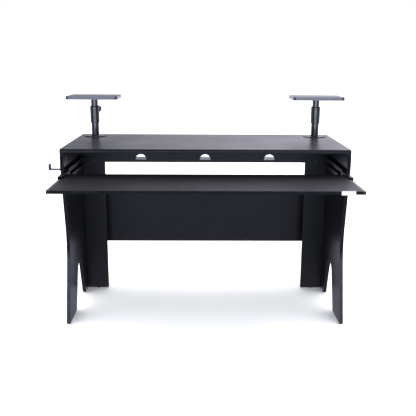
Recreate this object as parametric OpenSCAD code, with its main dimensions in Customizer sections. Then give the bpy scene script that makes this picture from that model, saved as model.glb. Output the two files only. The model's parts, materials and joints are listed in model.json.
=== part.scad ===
// Computer desk with a sliding keyboard tray, an open-backed cable box under the
// rear of its top, a headphone hook, and two small platforms on telescopic posts.
// Millimetres. X runs to the right, Y to the back and Z up. The tray is drawn out.

/* [Desk] */
// Width of the desktop
desk_w = 1400; // [1150:10:1700]
// Depth of the desktop
desk_d = 635; // [525:5:765]
// Height of the desktop's top face above the floor
desk_h = 890; // [740:5:1070]
// Thickness of the desktop and of the side panels
board_t = 18; // [15:0.5:22]
// Thickness of the tray, shelf and other light boards
thin_t = 15; // [12:0.5:18]
// Depth of the solid lipping along the desktop's front edge
lipping_d = 12; // [8:1:20]
// Radius along the lipping's upper front edge
lipping_r = 9; // [4:1:12]
// Thickness of the edge bands
band_t = 1; // [0.6:0.1:2]
// Height of the plastic glides under the feet
glide_h = 4; // [3:1:8]
// Diameter of the glides
glide_d = 14; // [11:1:15]

/* [Side panels] */
// Height below the desktop's top at which the front edge starts to curve back
curve_drop = 90; // [75:5:120]
// How far back the two slopes of the front edge would meet
waist_in = 76; // [30:1:100]
// Height of the waist above the floor
waist_h = 395; // [330:5:470]
// Radius of the waist
waist_r = 480; // [200:10:500]
// How far the front foot reaches in front of the desktop
foot_out = 16; // [0:1:40]
// Depth at which the front foot ends, at the floor
foot_end = 166; // [130:2:200]
// Depth at which the rear foot starts, at the floor
rear_foot = 440; // [370:5:500]
// Height at which the sides of the notch between the feet would meet
notch_h = 365; // [300:5:430]
// Radius of the notch's top
notch_r = 68; // [40:1:70]

/* [Rear boards] */
// Distance from the desktop's rear edge to the front of the rear legs
leg_inset = 115; // [95:1:140]
// Width of each rear leg board
leg_w = 120; // [100:1:150]
// Clear height between the cable shelf and the desktop
cable_box_h = 112; // [90:1:135]
// Radius of the half-round cable outlets
outlet_r = 30; // [20:1:36]
// Distance between the cable outlets
outlet_pitch = 360; // [200:5:450]
// Height of the modesty panel's lower edge above the floor
modesty_z = 258; // [200:1:320]
// Gap between the modesty panel and the cable shelf
modesty_gap = 105; // [80:1:150]

/* [Keyboard tray] */
// Depth of the tray
tray_d = 395; // [330:5:474]
// Clear height between the tray and the desktop
tray_clear = 95; // [80:1:115]
// How far the closed tray sits behind the desktop's front edge
tray_recess = 12; // [6:1:20]
// Width of the blank plate on the tray's front edge
plate_w = 60; // [40:1:80]
// Distance from the plate's centre to the tray's right side
plate_inset = 60; // [50:1:120]

/* [Slides] */
// Width taken by one slide, from side panel to tray
slide_w = 25.4; // [24:0.1:27]
// Height of the slide's fixed member
slide_h = 46; // [45:1:55]
// Sheet thickness of the slide members
sheet_t = 1.2; // [1:0.1:1.5]
// Distance from the slide's rear end to the rear leg
slide_gap = 58; // [40:1:80]
// How much shorter the middle member is than the fixed one
middle_short = 60; // [40:5:80]
// Radius of the bearing balls
ball_r = 3; // [2.5:0.1:3.2]
// Length of a ball cage
cage_l = 120; // [80:5:125]
// Spacing of the balls in a cage
ball_pitch = 12; // [8:1:20]

/* [Hook] */
// Distance from the hook's tip to the side panel
hook_reach = 63; // [40:1:90]
// Width of the hook's strip
hook_w = 50; // [30:1:70]
// Thickness of the hook's strip
hook_t = 2.5; // [1.5:0.5:4]
// Height of the hook's upturned tip
hook_tip = 26; // [15:1:40]
// Distance from the desktop's top face down to the hook's seat
hook_drop = 106; // [85:1:150]
// Distance from the hook's front edge to the desktop's front edge
hook_y = 30; // [20:1:60]

/* [Posts] */
// Distance from the desktop's side edge to each post
post_side = 88; // [75:1:150]
// Distance from the desktop's rear edge to each post
post_inset = 95; // [80:1:120]
// Diameter of the round base plate
base_d = 126; // [100:1:150]
// Thickness of the base plate
base_t = 4; // [3:0.5:6]
// Outer diameter of the upper tube
upper_d = 38; // [30:0.5:46]
// Wall thickness of both tubes
tube_t = 1.6; // [1.2:0.1:2]
// Wall of the clamp collar around the lower tube
collar_wall = 4.3; // [3.6:0.1:5.2]
// Wall of the bush between the upper tube and the collar
bush_wall = 3; // [2.5:0.1:3.6]
// Height of the clamp collar
collar_h = 88; // [70:1:110]
// Height of the collar's lower end above the desktop
collar_z = 75; // [55:1:95]
// Length of the lower tube held in the collar
collar_grip = 40; // [30:1:45]
// Direction of the clamp knob, anticlockwise from the right
knob_angle = 76; // [0:1:180]
// Diameter of the clamp knob
knob_d = 40; // [30:1:46]
// Radius of the clamp screw
stud_r = 4; // [3:0.5:5]
// Length of the upper tube that shows above the collar
tube_show = 39.5; // [32:0.5:120]
// Width of a platform
platform_w = 278; // [230:1:335]
// Depth of a platform
platform_d = 225; // [185:1:270]
// Radius of a platform's corners
platform_r = 18; // [5:1:60]
// Diameter of the round plate under a platform
top_plate_d = 100; // [80:1:140]

/* [Hidden] */
$fn = 64;

// Running clearance of a shaft in its hole, and the gap kept around rolling parts
fit_gap = 0.06;
roll_gap = 0.3;

// Inner faces of the side panels and the underside of the desktop
inner_x = desk_w / 2 - board_t;
top_z = desk_h - board_t;
shelf_top = top_z - cable_box_h;
shelf_z = shelf_top - thin_t;

// Front faces of the rear legs and of the modesty panel
leg_y = desk_d - leg_inset;
modesty_y = desk_d - thin_t;
modesty_h = shelf_z - modesty_gap - modesty_z;

// Fixed slide members, and the tray's travel on them: it is drawn right out at rest
slide_end_gap = 5;
outer_y = tray_recess;
outer_l = leg_y - slide_gap - outer_y;
tray_travel = outer_l - slide_end_gap;
tray_x = inner_x - slide_w;
tray_y = tray_recess - tray_travel;
tray_z = top_z - tray_clear;
slide_drop = 1;
slide_z = tray_z - thin_t / 2 - slide_drop;

// Lengths of the moving slide members and their front ends at rest
inner_y = tray_y + slide_end_gap;
inner_l = outer_l - slide_end_gap;
middle_l = outer_l - middle_short;
middle_y = outer_y + middle_short - 4 - tray_travel / 2;

// Slide sections, measured from the side panel's face and from the slide's middle.
// Each member is a channel and the balls roll between neighbouring flanges.
outer_half = slide_h / 2;
outer_lip = 2.6;
outer_reach = slide_w - 3.1;
outer_row = outer_half - sheet_t - roll_gap - ball_r;
outer_ball_a = outer_reach - sheet_t - roll_gap - ball_r;
middle_half = outer_row - ball_r - roll_gap;
middle_a = sheet_t + 1;
middle_reach = slide_w - 2.3;
middle_lip = 2.2;
inner_row = middle_half - sheet_t - roll_gap - ball_r;
inner_ball_a = middle_reach - sheet_t - roll_gap - ball_r;
inner_half = inner_row - ball_r - roll_gap;
inner_a = slide_w - 14;
end_cap_t = 3;
end_cap_r = 4;
cage_t = 0.4;
cage_setback = 25;
outer_cage_y = outer_y + cage_setback;
inner_cage_y = middle_y + cage_setback;

// Screws of the slides
slide_screw_r = 1.75;
slide_screw_head_r = 3.5;
slide_screw_l = 13;
outer_screw_y = [outer_y + 35, outer_y + outer_l * 0.55, outer_y + outer_l - 25];
tray_hold = min(tray_d, inner_l);
inner_screw_y = [tray_y + 30, tray_y + tray_hold / 2, tray_y + tray_hold - 30];

// Furniture fittings
cam_r = 7.5;
cam_z = top_z - 34;
cam_y = [80, leg_y - 80];
cam_bolt_r = 3;
cam_ball_r = cam_bolt_r + 0.4;
// A housing reaches just past the bolt, which stands in the middle of the panel
cam_l = board_t / 2 + cam_ball_r + 0.1;
cam_bore_r = 4;
dowel_r = 4;
dowel_l = 30;
dowel_y = [40, desk_d / 2, desk_d - 35];
dowel_x = 450;
confirmat_r = 2.5;
confirmat_head_r = 3.5;
confirmat_head_l = 3;
confirmat_l = 50;
screw_cap_r = 6;
screw_cap_t = 1;
// Depth and height of each screw through a side panel
confirmats = [
    [leg_y + thin_t + 12, shelf_z + thin_t / 2],
    [modesty_y - 12, shelf_z + thin_t / 2],
    [leg_y + thin_t / 2, 180],
    [leg_y + thin_t / 2, shelf_z - 145],
    [modesty_y + thin_t / 2, modesty_z + 60],
    [modesty_y + thin_t / 2, modesty_z + modesty_h - 60],
    [leg_y + thin_t / 2, shelf_top + 70]
];
shelf_screw_mid = 170;
shelf_screw_end = inner_x - leg_w - 12;
shelf_screw_x = [-shelf_screw_end, -shelf_screw_mid, shelf_screw_mid, shelf_screw_end];
shelf_screw_r = 2;
shelf_screw_l = 40;
edge_plug_r = 3.5;
edge_plug_x = inner_x - leg_w / 2;
panel_plug_r = 4;
panel_plug_y = 225;
panel_plug_z = 345;

// Hook
hook_z = desk_h - hook_drop;

// Posts
post_x = desk_w / 2 - post_side;
post_y = desk_d - post_inset;
lower_d = upper_d + 2 * tube_t + 1.2;
collar_d = lower_d + 2 * collar_wall;
base_hole_ring = base_d / 2 - 13;
base_screw_r = 2;
base_top = desk_h + base_t;
collar_low = desk_h + collar_z;
collar_top = collar_low + collar_h;
lower_top = collar_low + collar_grip;
bush_gap = 2;
bush_low = lower_top + bush_gap;
bush_r = upper_d / 2 + bush_wall;
bush_lip_t = 2.5;
bush_lip_r = collar_d / 2 - 1.5;
top_plate_t = 3;
upper_top = collar_top + tube_show;
platform_low = upper_top + top_plate_t;
upper_low = base_top + 18;
knob_z = collar_top - 16;
boss_r = 8;
boss_end = collar_d / 2 + 10;
pad_start = bush_r + 0.2;
pad_l = 1.6;
stud_start = pad_start + pad_l + 0.1;
knob_start = boss_end + 4;
knob_l = 18;
knob_lobes = 7;
top_screw_ring = top_plate_d / 2 - 10;
top_screw_l = 14;

// The object's origin: the middle of its box, on the floor
plate_t = 1.2;
x_low = -(desk_w / 2 + hook_reach);
x_high = max(desk_w / 2 + screw_cap_t, post_x + platform_w / 2);
y_low = tray_y - plate_t;
y_high = max(desk_d, post_y + platform_d / 2);
origin = [(x_low + x_high) / 2, (y_low + y_high) / 2, 0];

// Colours
black_board = [0.06, 0.06, 0.075];
dark_edge = [0.10, 0.10, 0.12];
black_steel = [0.05, 0.05, 0.055];
zinc = [0.62, 0.63, 0.64];
black_plastic = [0.04, 0.04, 0.045];
pale_plastic = [0.85, 0.85, 0.83];
beech = [0.72, 0.56, 0.38];

// Points of an arc that rounds the corner c between a and b with radius r
function unit(v) = v / norm(v);
function rounded(a, c, b, r, n = 16) =
    let (u = unit(a - c), w = unit(b - c), half = acos(u * w) / 2,
         o = c + unit(u + w) * r / sin(half),
         s = c + u * r / tan(half) - o, e = c + w * r / tan(half) - o)
    [for (i = [0 : n]) o + unit(s * (1 - i / n) + e * i / n) * r];

// Moves the desk from its own axes to the object's origin
module placed() translate(-origin) children();

// Left half drawn once, and mirrored for the right
module on_side(side) {
    if (side > 0) mirror([1, 0, 0]) children();
    else children();
}

// Outline in Y and Z, extruded along X from x by t
module from_side(x, t) translate([x, 0, 0]) rotate([90, 0, 90]) linear_extrude(t) children();

// Outline in X and Z, extruded along Y from y by l
module along_y(y, l) translate([0, y + l, 0]) rotate([90, 0, 0]) linear_extrude(l) children();

// A board from its low corner to its high corner
module board(low, high) translate(low) cube(high - low);

// Cylinder lying along +X from a point
module rod_x(p, r, l) translate(p) rotate([0, 90, 0]) cylinder(r = r, h = l);

// Front edge of a side panel from the floor to the top, moved back by inset
function front_edge(inset) =
    let (foot = [inset - foot_out, glide_h], waist = [inset + waist_in, waist_h],
         bend = [inset, desk_h - curve_drop])
    concat([[inset, top_z]], [bend], rounded(bend, waist, foot, waist_r), [foot]);

// Underside of a side panel: front foot, notch and rear foot
function foot_edge() =
    let (a = [foot_end, glide_h], c = [(foot_end + rear_foot) / 2, notch_h], b = [rear_foot, glide_h])
    concat([a], rounded(a, c, b, notch_r), [b]);

module desktop() {
    color(black_board) difference() {
        board([-desk_w / 2, lipping_d, top_z], [desk_w / 2, desk_d, desk_h]);
        dowel_shapes();
        for (side = [-1, 1]) on_side(side) for (y = cam_y)
            translate([-inner_x - board_t / 2, y, top_z - 1]) cylinder(r = cam_bolt_r, h = 12);
        for (side = [-1, 1]) base_screw_shapes(side);
    }
}

module desktop_lipping() {
    color(dark_edge) from_side(-desk_w / 2, desk_w) difference() {
        translate([0, top_z]) square([lipping_d, board_t]);
        difference() {
            translate([-1, desk_h - lipping_r]) square([lipping_r + 1, lipping_r + 1]);
            translate([lipping_r, desk_h - lipping_r]) circle(r = lipping_r);
        }
    }
}

module side_panel(side) {
    color(black_board) on_side(side) difference() {
        from_side(-desk_w / 2, board_t)
            polygon(concat(front_edge(band_t), foot_edge(), [[desk_d, glide_h], [desk_d, top_z]]));
        dowel_shapes();
        confirmat_shapes();
        for (y = cam_y) {
            translate([-inner_x - board_t / 2, y, cam_z]) cylinder(r = cam_bore_r, h = top_z - cam_z + 1);
            rod_x([-inner_x - cam_l, y, cam_z], cam_r, cam_l + 1);
        }
        for (y = outer_screw_y) slide_screw_shape(y);
        rod_x([-inner_x - 8, panel_plug_y, panel_plug_z], panel_plug_r - 1, 9);
        for (y = glide_places()) translate([-inner_x - board_t / 2, y, 0]) glide_pin();
        if (side < 0) for (z = hook_screw_z()) rod_x([-desk_w / 2 - 1, hook_y + hook_w / 2, z], 2, 14);
    }
}

// Edge bands that follow the curved front edges of the side panels
module side_bands() {
    front = front_edge(0);
    back = front_edge(band_t);
    color(dark_edge) for (side = [-1, 1]) on_side(side) from_side(-desk_w / 2, board_t)
        polygon(concat(front, [for (i = [len(back) - 1 : -1 : 0]) back[i]]));
}

module rear_leg(side) {
    color(black_board) on_side(side) difference() {
        board([-inner_x, leg_y, glide_h], [-inner_x + leg_w, leg_y + thin_t, shelf_z]);
        confirmat_shapes();
        translate([-edge_plug_x, leg_y + thin_t / 2, 0]) glide_pin();
    }
}

module modesty_panel() {
    color(black_board) difference() {
        board([-inner_x, modesty_y, modesty_z], [inner_x, desk_d, modesty_z + modesty_h]);
        for (side = [-1, 1]) on_side(side) confirmat_shapes();
    }
}

module cable_shelf() {
    color(black_board) difference() {
        board([-inner_x, leg_y, shelf_z], [inner_x, desk_d, shelf_top]);
        for (side = [-1, 1]) on_side(side) {
            confirmat_shapes();
            edge_plug_shape();
        }
        shelf_screw_shapes();
    }
}

module cable_panel() {
    color(black_board) difference() {
        board([-inner_x, leg_y, shelf_top], [inner_x, leg_y + thin_t, top_z]);
        for (i = [-1 : 1]) translate([i * outlet_pitch, leg_y - 1, shelf_top]) rotate([-90, 0, 0])
            cylinder(r = outlet_r, h = thin_t + 2);
        for (side = [-1, 1]) on_side(side) confirmat_shapes();
        shelf_screw_shapes();
        dowel_shapes();
    }
}

// Wooden dowels between the desktop and the boards under it
module dowel_shapes() {
    for (side = [-1, 1]) {
        for (y = dowel_y) translate([side * (inner_x + board_t / 2), y, top_z - dowel_l + 10])
            cylinder(r = dowel_r, h = dowel_l);
        translate([side * dowel_x, leg_y + thin_t / 2, top_z - dowel_l + 10]) cylinder(r = dowel_r, h = dowel_l);
    }
}

module wood_dowels() color(beech) dowel_shapes();

// Cam lock housings in the side panels and the bolts they pull on
module cam_locks() {
    color(zinc) for (side = [-1, 1]) on_side(side) for (y = cam_y) difference() {
        rod_x([-inner_x - cam_l, y, cam_z], cam_r, cam_l);
        translate([-inner_x - board_t / 2, y, cam_z - 6]) cylinder(r = cam_bore_r, h = 20);
        for (turn = [0, 90]) translate([-inner_x, y, cam_z]) rotate([turn, 0, 0])
            cube([4, 8, 1.2], center = true);
    }
}

module cam_bolts() {
    color(zinc) for (side = [-1, 1]) on_side(side) for (y = cam_y)
        translate([-inner_x - board_t / 2, y, cam_z - 2]) {
            cylinder(r = cam_bolt_r, h = top_z - cam_z + 2 + 11);
            sphere(r = cam_ball_r);
        }
}

// Screws through the side panels into the boards between them, on the left
module confirmat_shapes() {
    for (p = confirmats) {
        rod_x([-desk_w / 2, p[0], p[1]], confirmat_head_r, confirmat_head_l);
        rod_x([-desk_w / 2, p[0], p[1]], confirmat_r, confirmat_l);
    }
}

module side_screws() color(zinc) for (side = [-1, 1]) on_side(side) confirmat_shapes();

module side_screw_caps() {
    color(black_plastic) for (side = [-1, 1]) on_side(side) for (p = confirmats)
        rod_x([-desk_w / 2 - screw_cap_t, p[0], p[1]], screw_cap_r, screw_cap_t);
}

// Screws up through the cable shelf into the cable panel
module shelf_screw_shapes() {
    for (x = shelf_screw_x) translate([x, leg_y + thin_t / 2, shelf_z])
        cylinder(r = shelf_screw_r, h = shelf_screw_l);
}

module shelf_screws() {
    color(zinc) {
        shelf_screw_shapes();
        for (x = shelf_screw_x) translate([x, leg_y + thin_t / 2, shelf_z - 2]) cylinder(r = 4, h = 2);
    }
}

// Plugs in the shelf's front edge, over the rear legs
module edge_plug_shape() {
    translate([-edge_plug_x, leg_y, shelf_z + thin_t / 2]) rotate([-90, 0, 0])
        cylinder(r = edge_plug_r - 1, h = 8);
}

module shelf_edge_plugs() {
    color(zinc) for (side = [-1, 1]) on_side(side) {
        edge_plug_shape();
        translate([-edge_plug_x, leg_y - 0.8, shelf_z + thin_t / 2]) rotate([-90, 0, 0])
            cylinder(r = edge_plug_r, h = 0.8);
    }
}

// Plugs in the spare holes on the side panels' inner faces
module panel_plugs() {
    color(pale_plastic) for (side = [-1, 1]) on_side(side) {
        rod_x([-inner_x - 8, panel_plug_y, panel_plug_z], panel_plug_r - 1, 8);
        rod_x([-inner_x, panel_plug_y, panel_plug_z], panel_plug_r, 1);
    }
}

// Nail-on glides under the feet and the rear legs
function glide_places() = [foot_out + 14, foot_end - 30, rear_foot + 30, desk_d - 30];

module glide_pin() translate([0, 0, glide_h - 1]) cylinder(r = 1.5, h = 16);

module glide() {
    cylinder(r1 = glide_d / 2 - 1, r2 = glide_d / 2, h = 1);
    translate([0, 0, 1]) cylinder(d = glide_d, h = glide_h - 1);
    glide_pin();
}

module foot_glides() {
    color(black_plastic) for (side = [-1, 1]) on_side(side) {
        for (y = glide_places()) translate([-inner_x - board_t / 2, y, 0]) glide();
        translate([-edge_plug_x, leg_y + thin_t / 2, 0]) glide();
    }
}

// Channel section of a slide member: web at a, flanges to b, half height h
module channel(a, b, h, lip) {
    translate([a, -h]) square([sheet_t, 2 * h]);
    for (flip = [0, 1]) mirror([0, flip]) {
        translate([a, h - sheet_t]) square([b - a, sheet_t]);
        translate([b - sheet_t, h - sheet_t - lip]) square([sheet_t, sheet_t + lip]);
    }
}

// Left slide's place: against the left side panel, just below the tray's middle
module at_slide(side) on_side(side) translate([-inner_x, 0, slide_z]) children();

// Countersunk screw of the fixed member, entering the left side panel
module slide_screw_shape(y) translate([-inner_x, y, slide_z]) {
    sink = slide_screw_head_r - slide_screw_r;
    rod_x([-slide_screw_l, 0, 0], slide_screw_r, slide_screw_l);
    translate([sheet_t - sink, 0, 0]) rotate([0, 90, 0])
        cylinder(r1 = slide_screw_r, r2 = slide_screw_head_r, h = sink);
}

module slide_outer(side) {
    color(black_steel) on_side(side) difference() {
        translate([-inner_x, 0, slide_z]) along_y(outer_y, outer_l) channel(0, outer_reach, outer_half, outer_lip);
        for (y = outer_screw_y) slide_screw_shape(y);
    }
}

module slide_middle(side) {
    color(black_steel) at_slide(side) along_y(middle_y, middle_l)
        channel(middle_a, middle_reach, middle_half, middle_lip);
}

module slide_inner(side) {
    color(black_steel) at_slide(side) difference() {
        along_y(inner_y, inner_l) {
            translate([slide_w - sheet_t, -inner_half]) square([sheet_t, 2 * inner_half]);
            for (flip = [0, 1]) mirror([0, flip]) translate([inner_a, inner_half - sheet_t])
                square([slide_w - inner_a, sheet_t]);
        }
        for (y = inner_screw_y) rod_x([slide_w - 2 * sheet_t, y, 0], slide_screw_r, 3 * sheet_t);
    }
}

// Ball cage: a thin channel with two rows of balls held in its flanges
module ball_cage(side, y, a, ball_x, row) {
    color(black_steel) at_slide(side) {
        along_y(y, cage_l) {
            translate([a, -row]) square([cage_t, 2 * row]);
            for (flip = [0, 1]) mirror([0, flip]) translate([a, row - cage_t / 2])
                square([ball_x + ball_r + 0.2 - a, cage_t]);
        }
        for (v = [-row, row]) for (s = [ball_pitch / 2 : ball_pitch : cage_l - ball_r])
            translate([ball_x, y + s, v]) sphere(r = ball_r, $fn = 24);
    }
}

module outer_ball_cage(side)
    ball_cage(side, outer_cage_y, sheet_t + roll_gap, outer_ball_a, outer_row);

module inner_ball_cage(side)
    ball_cage(side, inner_cage_y, middle_a + sheet_t + roll_gap, inner_ball_a, inner_row);

module slide_screws() color(zinc) for (side = [-1, 1]) on_side(side) for (y = outer_screw_y) slide_screw_shape(y);

// Rubber stops at the rear ends of the fixed members
module slide_stops() {
    color(black_plastic) for (side = [-1, 1]) at_slide(side)
        translate([sheet_t, outer_y + outer_l - 3, -8]) cube([7, 3, 16]);
}

module tray_screw_shapes(head) {
    for (y = inner_screw_y) {
        rod_x([slide_w - sheet_t, y, 0], slide_screw_r, slide_screw_l);
        if (head) rod_x([slide_w - sheet_t - 1.8, y, 0], slide_screw_head_r, 1.8);
    }
}

module tray_screws() color(zinc) for (side = [-1, 1]) at_slide(side) tray_screw_shapes(true);

// Plastic caps on the front ends of the inner members, rounded away from the tray
module slide_end_caps() {
    color(black_plastic) for (side = [-1, 1]) at_slide(side) along_y(inner_y - end_cap_t, end_cap_t) {
        translate([inner_a + end_cap_r, -inner_half]) square([slide_w - inner_a - end_cap_r, 2 * inner_half]);
        translate([inner_a, end_cap_r - inner_half]) square([end_cap_r, 2 * (inner_half - end_cap_r)]);
        for (v = [-1, 1]) translate([inner_a + end_cap_r, v * (inner_half - end_cap_r)]) circle(r = end_cap_r);
    }
}

module keyboard_tray() {
    color(black_board) difference() {
        board([-tray_x, tray_y + band_t, tray_z - thin_t], [tray_x, tray_y + tray_d, tray_z]);
        for (side = [-1, 1]) at_slide(side) tray_screw_shapes(false);
    }
}

module tray_edge_band() {
    color(dark_edge) board([-tray_x, tray_y, tray_z - thin_t], [tray_x, tray_y + band_t, tray_z]);
}

// Blank plate on the tray's front edge
module front_plate() {
    x = tray_x - plate_inset;
    color(pale_plastic)
        board([x - plate_w / 2, tray_y - plate_t, tray_z - thin_t - 2], [x + plate_w / 2, tray_y, tray_z + 1]);
}

// Headphone hook: a bent strip with its leg screwed to the left side panel
function hook_screw_z() = [hook_z - 30, hook_z - 14];

module headphone_hook() {
    color(black_steel) difference() {
        translate([-desk_w / 2, 0, 0]) along_y(hook_y, hook_w) {
            translate([-hook_t, hook_z - 44]) square([hook_t, 44]);
            translate([-hook_reach, hook_z - hook_t]) square([hook_reach, hook_t]);
            translate([-hook_reach, hook_z - hook_t]) square([hook_t, hook_tip + hook_t]);
        }
        for (z = hook_screw_z()) rod_x([-desk_w / 2 - 10, hook_y + hook_w / 2, z], 2, 20);
    }
}

module hook_screws() {
    color(zinc) for (z = hook_screw_z()) {
        rod_x([-desk_w / 2 - hook_t - 2, hook_y + hook_w / 2, z], 4, 2);
        rod_x([-desk_w / 2 - hook_t, hook_y + hook_w / 2, z], 2, hook_t + 13);
    }
}

// Foot of a post, on the desktop
module at_post(side) translate([side * post_x, post_y, 0]) children();

// Everything on the clamp screw's axis, measured out from the post's axis
module at_knob(side) at_post(side) translate([0, 0, knob_z]) rotate([0, 0, knob_angle]) children();

module ring_of(count, r) for (i = [0 : count - 1]) rotate([0, 0, 45 + i * 360 / count]) translate([r, 0, 0]) children();

module base_screw_shapes(side) {
    at_post(side) ring_of(4, base_hole_ring) translate([0, 0, desk_h - 12]) cylinder(r = base_screw_r, h = 12 + base_t);
}

module base_plates() {
    color(black_steel) for (side = [-1, 1]) difference() {
        at_post(side) {
            translate([0, 0, desk_h]) rotate_extrude() polygon([
                [0, 0], [base_d / 2, 0], [base_d / 2, base_t - 1], [base_d / 2 - 1, base_t], [0, base_t]]);
            translate([0, 0, base_top]) rotate_extrude()
                polygon([[lower_d / 2, 0], [lower_d / 2 + 3, 0], [lower_d / 2, 3]]);
        }
        base_screw_shapes(side);
    }
}

module base_screws() {
    color(zinc) for (side = [-1, 1]) {
        base_screw_shapes(side);
        at_post(side) ring_of(4, base_hole_ring) translate([0, 0, base_top]) cylinder(r1 = 4, r2 = 2.6, h = 2);
    }
}

module lower_tube(side) {
    color(black_steel) at_post(side) translate([0, 0, base_top]) difference() {
        cylinder(d = lower_d, h = lower_top - base_top);
        translate([0, 0, -1]) cylinder(r = lower_d / 2 - tube_t, h = lower_top - base_top + 2);
    }
}

module clamp_collar(side) {
    color(black_plastic) difference() {
        union() {
            at_post(side) translate([0, 0, collar_low]) rotate_extrude() polygon([
                [lower_d / 2, 0], [collar_d / 2 - 1.5, 0], [collar_d / 2, 1.5], [collar_d / 2, collar_h - 1.5],
                [collar_d / 2 - 1.5, collar_h], [bush_r + fit_gap, collar_h],
                [bush_r + fit_gap, collar_grip], [lower_d / 2, collar_grip]]);
            at_knob(side) rod_x([collar_d / 2 - 2, 0, 0], boss_r, boss_end - collar_d / 2 + 2);
        }
        at_knob(side) rod_x([bush_r - 1, 0, 0], stud_r + fit_gap, boss_end);
    }
}

// Split nylon bush that turns in the collar and guides the upper tube
module guide_bush(side) {
    color(pale_plastic) at_post(side) difference() {
        union() {
            translate([0, 0, bush_low]) cylinder(r = bush_r, h = collar_top - bush_low);
            translate([0, 0, collar_top]) cylinder(r = bush_lip_r, h = bush_lip_t);
        }
        translate([0, 0, bush_low - 1]) cylinder(r = upper_d / 2 + fit_gap, h = collar_h);
        translate([-bush_r - 10, -1, bush_low - 1]) cube([bush_r + 10, 2, collar_top - bush_low + 1]);
    }
}

module clamp_pad(side) color(zinc) at_knob(side) rod_x([pad_start, 0, 0], stud_r, pad_l);

module clamp_screw(side) {
    color(zinc) at_knob(side) rod_x([stud_start, 0, 0], stud_r, knob_start + knob_l - 4 - stud_start);
}

// Scalloped knob moulded over the end of the clamp screw
module clamp_knob(side) {
    neck_l = 4;
    scallop_r = knob_d * 0.15;
    color(black_plastic) at_knob(side) translate([knob_start, 0, 0]) rotate([0, 90, 0]) difference() {
        union() {
            cylinder(r = knob_d * 0.24, h = neck_l + 1);
            translate([0, 0, neck_l]) cylinder(d = knob_d, h = knob_l - neck_l);
        }
        for (i = [0 : knob_lobes - 1]) rotate([0, 0, (i + 0.5) * 360 / knob_lobes])
            translate([knob_d / 2 + scallop_r * 0.55, 0, neck_l - 1]) cylinder(r = scallop_r, h = knob_l);
        translate([0, 0, -1]) cylinder(r = stud_r, h = knob_l - 3);
    }
}

module upper_tube(side) {
    color(black_steel) at_post(side) translate([0, 0, upper_low]) difference() {
        cylinder(d = upper_d, h = upper_top - upper_low);
        translate([0, 0, -1]) cylinder(r = upper_d / 2 - tube_t, h = upper_top - upper_low + 2);
    }
}

module top_screw_shapes(side) {
    at_post(side) ring_of(4, top_screw_ring) translate([0, 0, upper_top])
        cylinder(r = slide_screw_r, h = top_plate_t + top_screw_l);
}

module top_plate(side) {
    color(black_steel) difference() {
        at_post(side) translate([0, 0, upper_top]) cylinder(d = top_plate_d, h = top_plate_t);
        top_screw_shapes(side);
    }
}

module top_screws(side) {
    color(zinc) {
        top_screw_shapes(side);
        at_post(side) ring_of(4, top_screw_ring) translate([0, 0, upper_top - 2])
            cylinder(r1 = 2.4, r2 = slide_screw_head_r, h = 2);
    }
}

module platform(side) {
    half_w = platform_w / 2 - platform_r;
    half_d = platform_d / 2 - platform_r;
    color(black_board) difference() {
        at_post(side) translate([0, 0, platform_low]) linear_extrude(board_t) {
            square([platform_w, 2 * half_d], center = true);
            square([2 * half_w, platform_d], center = true);
            for (sx = [-1, 1]) for (sy = [-1, 1]) translate([sx * half_w, sy * half_d]) circle(r = platform_r);
        }
        top_screw_shapes(side);
    }
}

placed() desktop();
placed() desktop_lipping();
placed() side_panel(-1);  // side_panel_left
placed() side_panel(1);  // side_panel_right
placed() side_bands();
placed() rear_leg(-1);  // rear_leg_left
placed() rear_leg(1);  // rear_leg_right
placed() modesty_panel();
placed() cable_shelf();
placed() cable_panel();
placed() wood_dowels();
placed() cam_locks();
placed() cam_bolts();
placed() side_screws();
placed() side_screw_caps();
placed() shelf_screws();
placed() shelf_edge_plugs();
placed() panel_plugs();
placed() foot_glides();
placed() slide_outer(-1);  // slide_outer_left
placed() slide_outer(1);  // slide_outer_right
placed() slide_middle(-1);  // slide_middle_left
placed() slide_middle(1);  // slide_middle_right
placed() slide_inner(-1);  // slide_inner_left
placed() slide_inner(1);  // slide_inner_right
placed() outer_ball_cage(-1);  // outer_ball_cage_left
placed() outer_ball_cage(1);  // outer_ball_cage_right
placed() inner_ball_cage(-1);  // inner_ball_cage_left
placed() inner_ball_cage(1);  // inner_ball_cage_right
placed() slide_screws();
placed() slide_stops();
placed() tray_screws();
placed() slide_end_caps();
placed() keyboard_tray();
placed() tray_edge_band();
placed() front_plate();
placed() headphone_hook();
placed() hook_screws();
placed() base_plates();
placed() base_screws();
placed() lower_tube(-1);  // lower_tube_left
placed() clamp_collar(-1);  // clamp_collar_left
placed() guide_bush(-1);  // guide_bush_left
placed() clamp_pad(-1);  // clamp_pad_left
placed() clamp_screw(-1);  // clamp_screw_left
placed() clamp_knob(-1);  // clamp_knob_left
placed() upper_tube(-1);  // upper_tube_left
placed() top_plate(-1);  // top_plate_left
placed() top_screws(-1);  // top_screws_left
placed() platform(-1);  // platform_left
placed() lower_tube(1);  // lower_tube_right
placed() clamp_collar(1);  // clamp_collar_right
placed() guide_bush(1);  // guide_bush_right
placed() clamp_pad(1);  // clamp_pad_right
placed() clamp_screw(1);  // clamp_screw_right
placed() clamp_knob(1);  // clamp_knob_right
placed() upper_tube(1);  // upper_tube_right
placed() top_plate(1);  // top_plate_right
placed() top_screws(1);  // top_screws_right
placed() platform(1);  // platform_right
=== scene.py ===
# %% [markdown]
# # A black studio desk with a keyboard tray
#
# The desk's frame comes from its CAD model: every board, tube and screw already has
# its place, its size and the body that it moves with. This lesson gives the desk its
# looks. Each visible piece is built again with the soft edges that a workshop leaves,
# or keeps its CAD shape and gets a finish, and then the desk is lit and framed.

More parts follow.
